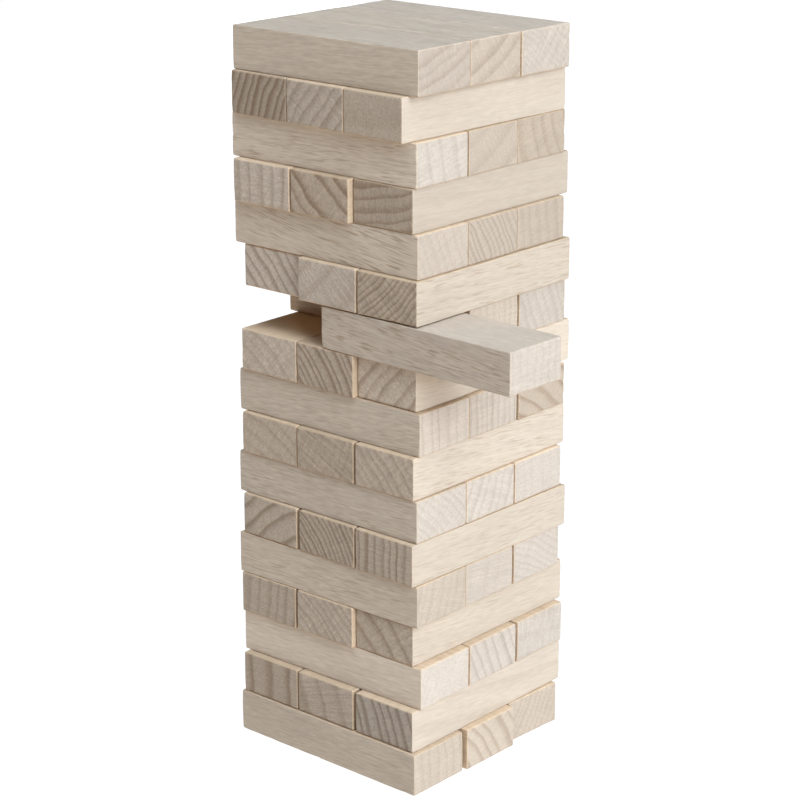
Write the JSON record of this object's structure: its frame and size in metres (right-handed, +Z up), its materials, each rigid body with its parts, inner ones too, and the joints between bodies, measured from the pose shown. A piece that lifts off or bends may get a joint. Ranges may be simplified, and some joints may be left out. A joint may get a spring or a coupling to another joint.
{
  "type": "tumbling tower game",
  "caption": "Stacked tower of plain beech blocks in crosswise three-wide layers, with one block drawn part way out.",
  "frame": {"origin": "in the tower's lowest face, on the middle of the stack", "axes": "+Z up the tower; odd layers' blocks lie along X and even layers' along Y; the drawn block sticks out towards +X"},
  "size_m": [0.1817, 0.1284, 0.3722],
  "materials": {
    "beech": "bare sanded beech, unlacquered"
  },
  "bodies": {
    "layer_01_front": {"layer_01_front_block": "beech"},
    "tower_foot": {"layer_01_middle_block": "beech"},
    "layer_01_back": {"layer_01_back_block": "beech"},
    "layer_02_left": {"layer_02_left_block": "beech"},
    "layer_02_middle": {"layer_02_middle_block": "beech"},
    "layer_02_right": {"layer_02_right_block": "beech"},
    "layer_03_front": {"layer_03_front_block": "beech"},
    "layer_03_middle": {"layer_03_middle_block": "beech"},
    "layer_03_back": {"layer_03_back_block": "beech"},
    "layer_04_left": {"layer_04_left_block": "beech"},
    "layer_04_middle": {"layer_04_middle_block": "beech"},
    "layer_04_right": {"layer_04_right_block": "beech"},
    "layer_05_front": {"layer_05_front_block": "beech"},
    "layer_05_middle": {"layer_05_middle_block": "beech"},
    "layer_05_back": {"layer_05_back_block": "beech"},
    "layer_06_left": {"layer_06_left_block": "beech"},
    "layer_06_middle": {"layer_06_middle_block": "beech"},
    "layer_06_right": {"layer_06_right_block": "beech"},
    "layer_07_front": {"layer_07_front_block": "beech"},
    "layer_07_middle": {"layer_07_middle_block": "beech"},
    "layer_07_back": {"layer_07_back_block": "beech"},
    "layer_08_left": {"layer_08_left_block": "beech"},
    "layer_08_middle": {"layer_08_middle_block": "beech"},
    "layer_08_right": {"layer_08_right_block": "beech"},
    "layer_09_front": {"layer_09_front_block": "beech"},
    "layer_09_middle": {"layer_09_middle_block": "beech"},
    "layer_09_back": {"layer_09_back_block": "beech"},
    "layer_10_left": {"layer_10_left_block": "beech"},
    "layer_10_middle": {"layer_10_middle_block": "beech"},
    "layer_10_right": {"layer_10_right_block": "beech"},
    "layer_11_front": {"layer_11_front_block": "beech"},
    "layer_11_middle": {"layer_11_middle_block": "beech"},
    "layer_11_back": {"layer_11_back_block": "beech"},
    "layer_12_left": {"layer_12_left_block": "beech"},
    "layer_12_middle": {"layer_12_middle_block": "beech"},
    "layer_12_right": {"layer_12_right_block": "beech"},
    "layer_13_front": {"layer_13_front_block": "beech"},
    "layer_13_middle": {"layer_13_middle_block": "beech"},
    "layer_13_back": {"layer_13_back_block": "beech"},
    "layer_14_left": {"layer_14_left_block": "beech"},
    "layer_14_middle": {"layer_14_middle_block": "beech"},
    "layer_14_right": {"layer_14_right_block": "beech"},
    "layer_15_front": {"layer_15_front_block": "beech"},
    "layer_15_middle": {"layer_15_middle_block": "beech"},
    "layer_15_back": {"layer_15_back_block": "beech"},
    "layer_16_left": {"layer_16_left_block": "beech"},
    "layer_16_middle": {"layer_16_middle_block": "beech"},
    "layer_16_right": {"layer_16_right_block": "beech"},
    "layer_17_front": {"layer_17_front_block": "beech"},
    "layer_17_middle": {"layer_17_middle_block": "beech"},
    "layer_17_back": {"layer_17_back_block": "beech"}
  },
  "joints": [
    {"name": "layer_01_front_slide", "type": "slide", "parent": "tower_foot", "child": "layer_01_front", "axis": [1, -0.007, 0], "range_m": [-0.125, 0.125]},
    {"name": "layer_01_back_slide", "type": "slide", "parent": "tower_foot", "child": "layer_01_back", "axis": [0.9987, -0.0506, 0], "range_m": [-0.125, 0.125]},
    {"name": "layer_02_left_slide", "type": "slide", "parent": "tower_foot", "child": "layer_02_left", "axis": [-0.0017, 1, 0], "range_m": [-0.125, 0.125]},
    {"name": "layer_02_middle_slide", "type": "slide", "parent": "tower_foot", "child": "layer_02_middle", "axis": [-0.0017, 1, 0], "range_m": [-0.125, 0.125]},
    {"name": "layer_02_right_slide", "type": "slide", "parent": "tower_foot", "child": "layer_02_right", "axis": [-0.0017, 1, 0], "range_m": [-0.125, 0.125]},
    {"name": "layer_03_front_slide", "type": "slide", "parent": "tower_foot", "child": "layer_03_front", "axis": [0.9999, 0.0105, 0], "range_m": [-0.125, 0.125]},
    {"name": "layer_03_middle_slide", "type": "slide", "parent": "tower_foot", "child": "layer_03_middle", "axis": [0.9999, 0.0105, 0], "range_m": [-0.125, 0.125]},
    {"name": "layer_03_back_slide", "type": "slide", "parent": "tower_foot", "child": "layer_03_back", "axis": [0.9999, 0.0105, 0], "range_m": [-0.125, 0.125]},
    {"name": "layer_04_left_slide", "type": "slide", "parent": "tower_foot", "child": "layer_04_left", "axis": [0, 1, 0], "range_m": [-0.125, 0.125]},
    {"name": "layer_04_middle_slide", "type": "slide", "parent": "tower_foot", "child": "layer_04_middle", "axis": [0, 1, 0], "range_m": [-0.125, 0.125]},
    {"name": "layer_04_right_slide", "type": "slide", "parent": "tower_foot", "child": "layer_04_right", "axis": [0, 1, 0], "range_m": [-0.125, 0.125]},
    {"name": "layer_05_front_slide", "type": "slide", "parent": "tower_foot", "child": "layer_05_front", "axis": [1, 0.007, 0], "range_m": [-0.125, 0.125]},
    {"name": "layer_05_middle_slide", "type": "slide", "parent": "tower_foot", "child": "layer_05_middle", "axis": [1, 0.007, 0], "range_m": [-0.125, 0.125]},
    {"name": "layer_05_back_slide", "type": "slide", "parent": "tower_foot", "child": "layer_05_back", "axis": [1, 0.007, 0], "range_m": [-0.125, 0.125]},
    {"name": "layer_06_left_slide", "type": "slide", "parent": "tower_foot", "child": "layer_06_left", "axis": [0.0157, 0.9999, 0], "range_m": [-0.125, 0.125]},
    {"name": "layer_06_middle_slide", "type": "slide", "parent": "tower_foot", "child": "layer_06_middle", "axis": [0.0157, 0.9999, 0], "range_m": [-0.125, 0.125]},
    {"name": "layer_06_right_slide", "type": "slide", "parent": "tower_foot", "child": "layer_06_right", "axis": [0.0157, 0.9999, 0], "range_m": [-0.125, 0.125]},
    {"name": "layer_07_front_slide", "type": "slide", "parent": "tower_foot", "child": "layer_07_front", "axis": [1, -0.0035, 0], "range_m": [-0.125, 0.125]},
    {"name": "layer_07_middle_slide", "type": "slide", "parent": "tower_foot", "child": "layer_07_middle", "axis": [1, -0.0035, 0], "range_m": [-0.125, 0.125]},
    {"name": "layer_07_back_slide", "type": "slide", "parent": "tower_foot", "child": "layer_07_back", "axis": [1, -0.0035, 0], "range_m": [-0.125, 0.125]},
    {"name": "layer_08_left_slide", "type": "slide", "parent": "tower_foot", "child": "layer_08_left", "axis": [-0.0035, 1, 0], "range_m": [-0.125, 0.125]},
    {"name": "layer_08_middle_slide", "type": "slide", "parent": "tower_foot", "child": "layer_08_middle", "axis": [-0.0035, 1, 0], "range_m": [-0.125, 0.125]},
    {"name": "layer_08_right_slide", "type": "slide", "parent": "tower_foot", "child": "layer_08_right", "axis": [-0.0035, 1, 0], "range_m": [-0.125, 0.125]},
    {"name": "layer_09_front_slide", "type": "slide", "parent": "tower_foot", "child": "layer_09_front", "axis": [1, 0.0035, 0], "range_m": [-0.125, 0.125]},
    {"name": "layer_09_middle_slide", "type": "slide", "parent": "tower_foot", "child": "layer_09_middle", "axis": [1, 0.0035, 0], "range_m": [-0.125, 0.125]},
    {"name": "layer_09_back_slide", "type": "slide", "parent": "tower_foot", "child": "layer_09_back", "axis": [1, 0.0035, 0], "range_m": [-0.125, 0.125]},
    {"name": "layer_10_left_slide", "type": "slide", "parent": "tower_foot", "child": "layer_10_left", "axis": [0.0052, 1, 0], "range_m": [-0.125, 0.125]},
    {"name": "layer_10_middle_slide", "type": "slide", "parent": "tower_foot", "child": "layer_10_middle", "axis": [0.0052, 1, 0], "range_m": [-0.125, 0.125]},
    {"name": "layer_10_right_slide", "type": "slide", "parent": "tower_foot", "child": "layer_10_right", "axis": [0.0052, 1, 0], "range_m": [-0.125, 0.125]},
    {"name": "layer_11_front_slide", "type": "slide", "parent": "tower_foot", "child": "layer_11_front", "axis": [1, 0.0052, 0], "range_m": [-0.1847, 0.0653]},
    {"name": "layer_11_middle_slide", "type": "slide", "parent": "tower_foot", "child": "layer_11_middle", "axis": [1, 0.0052, 0], "range_m": [-0.125, 0.125]},
    {"name": "layer_11_back_slide", "type": "slide", "parent": "tower_foot", "child": "layer_11_back", "axis": [1, 0.0052, 0], "range_m": [-0.125, 0.125]},
    {"name": "layer_12_left_slide", "type": "slide", "parent": "tower_foot", "child": "layer_12_left", "axis": [-0.0052, 1, 0], "range_m": [-0.125, 0.125]},
    {"name": "layer_12_middle_slide", "type": "slide", "parent": "tower_foot", "child": "layer_12_middle", "axis": [-0.0052, 1, 0], "range_m": [-0.125, 0.125]},
    {"name": "layer_12_right_slide", "type": "slide", "parent": "tower_foot", "child": "layer_12_right", "axis": [-0.0052, 1, 0], "range_m": [-0.125, 0.125]},
    {"name": "layer_13_front_slide", "type": "slide", "parent": "tower_foot", "child": "layer_13_front", "axis": [1, 0.0017, 0], "range_m": [-0.125, 0.125]},
    {"name": "layer_13_middle_slide", "type": "slide", "parent": "tower_foot", "child": "layer_13_middle", "axis": [1, 0.0017, 0], "range_m": [-0.125, 0.125]},
    {"name": "layer_13_back_slide", "type": "slide", "parent": "tower_foot", "child": "layer_13_back", "axis": [1, 0.0017, 0], "range_m": [-0.125, 0.125]},
    {"name": "layer_14_left_slide", "type": "slide", "parent": "tower_foot", "child": "layer_14_left", "axis": [0, 1, 0], "range_m": [-0.125, 0.125]},
    {"name": "layer_14_middle_slide", "type": "slide", "parent": "tower_foot", "child": "layer_14_middle", "axis": [0, 1, 0], "range_m": [-0.125, 0.125]},
    {"name": "layer_14_right_slide", "type": "slide", "parent": "tower_foot", "child": "layer_14_right", "axis": [0, 1, 0], "range_m": [-0.125, 0.125]},
    {"name": "layer_15_front_slide", "type": "slide", "parent": "tower_foot", "child": "layer_15_front", "axis": [1, 0.0017, 0], "range_m": [-0.125, 0.125]},
    {"name": "layer_15_middle_slide", "type": "slide", "parent": "tower_foot", "child": "layer_15_middle", "axis": [1, 0.0017, 0], "range_m": [-0.125, 0.125]},
    {"name": "layer_15_back_slide", "type": "slide", "parent": "tower_foot", "child": "layer_15_back", "axis": [1, 0.0017, 0], "range_m": [-0.125, 0.125]},
    {"name": "layer_16_left_slide", "type": "slide", "parent": "tower_foot", "child": "layer_16_left", "axis": [0.0297, 0.9996, 0], "range_m": [-0.125, 0.125]},
    {"name": "layer_16_middle_slide", "type": "slide", "parent": "tower_foot", "child": "layer_16_middle", "axis": [0.0297, 0.9996, 0], "range_m": [-0.125, 0.125]},
    {"name": "layer_16_right_slide", "type": "slide", "parent": "tower_foot", "child": "layer_16_right", "axis": [0.0297, 0.9996, 0], "range_m": [-0.125, 0.125]},
    {"name": "layer_17_front_slide", "type": "slide", "parent": "tower_foot", "child": "layer_17_front", "axis": [1, -0.0052, 0], "range_m": [-0.125, 0.125]},
    {"name": "layer_17_middle_slide", "type": "slide", "parent": "tower_foot", "child": "layer_17_middle", "axis": [1, -0.0052, 0], "range_m": [-0.125, 0.125]},
    {"name": "layer_17_back_slide", "type": "slide", "parent": "tower_foot", "child": "layer_17_back", "axis": [1, -0.0052, 0], "range_m": [-0.125, 0.125]}
  ]
}
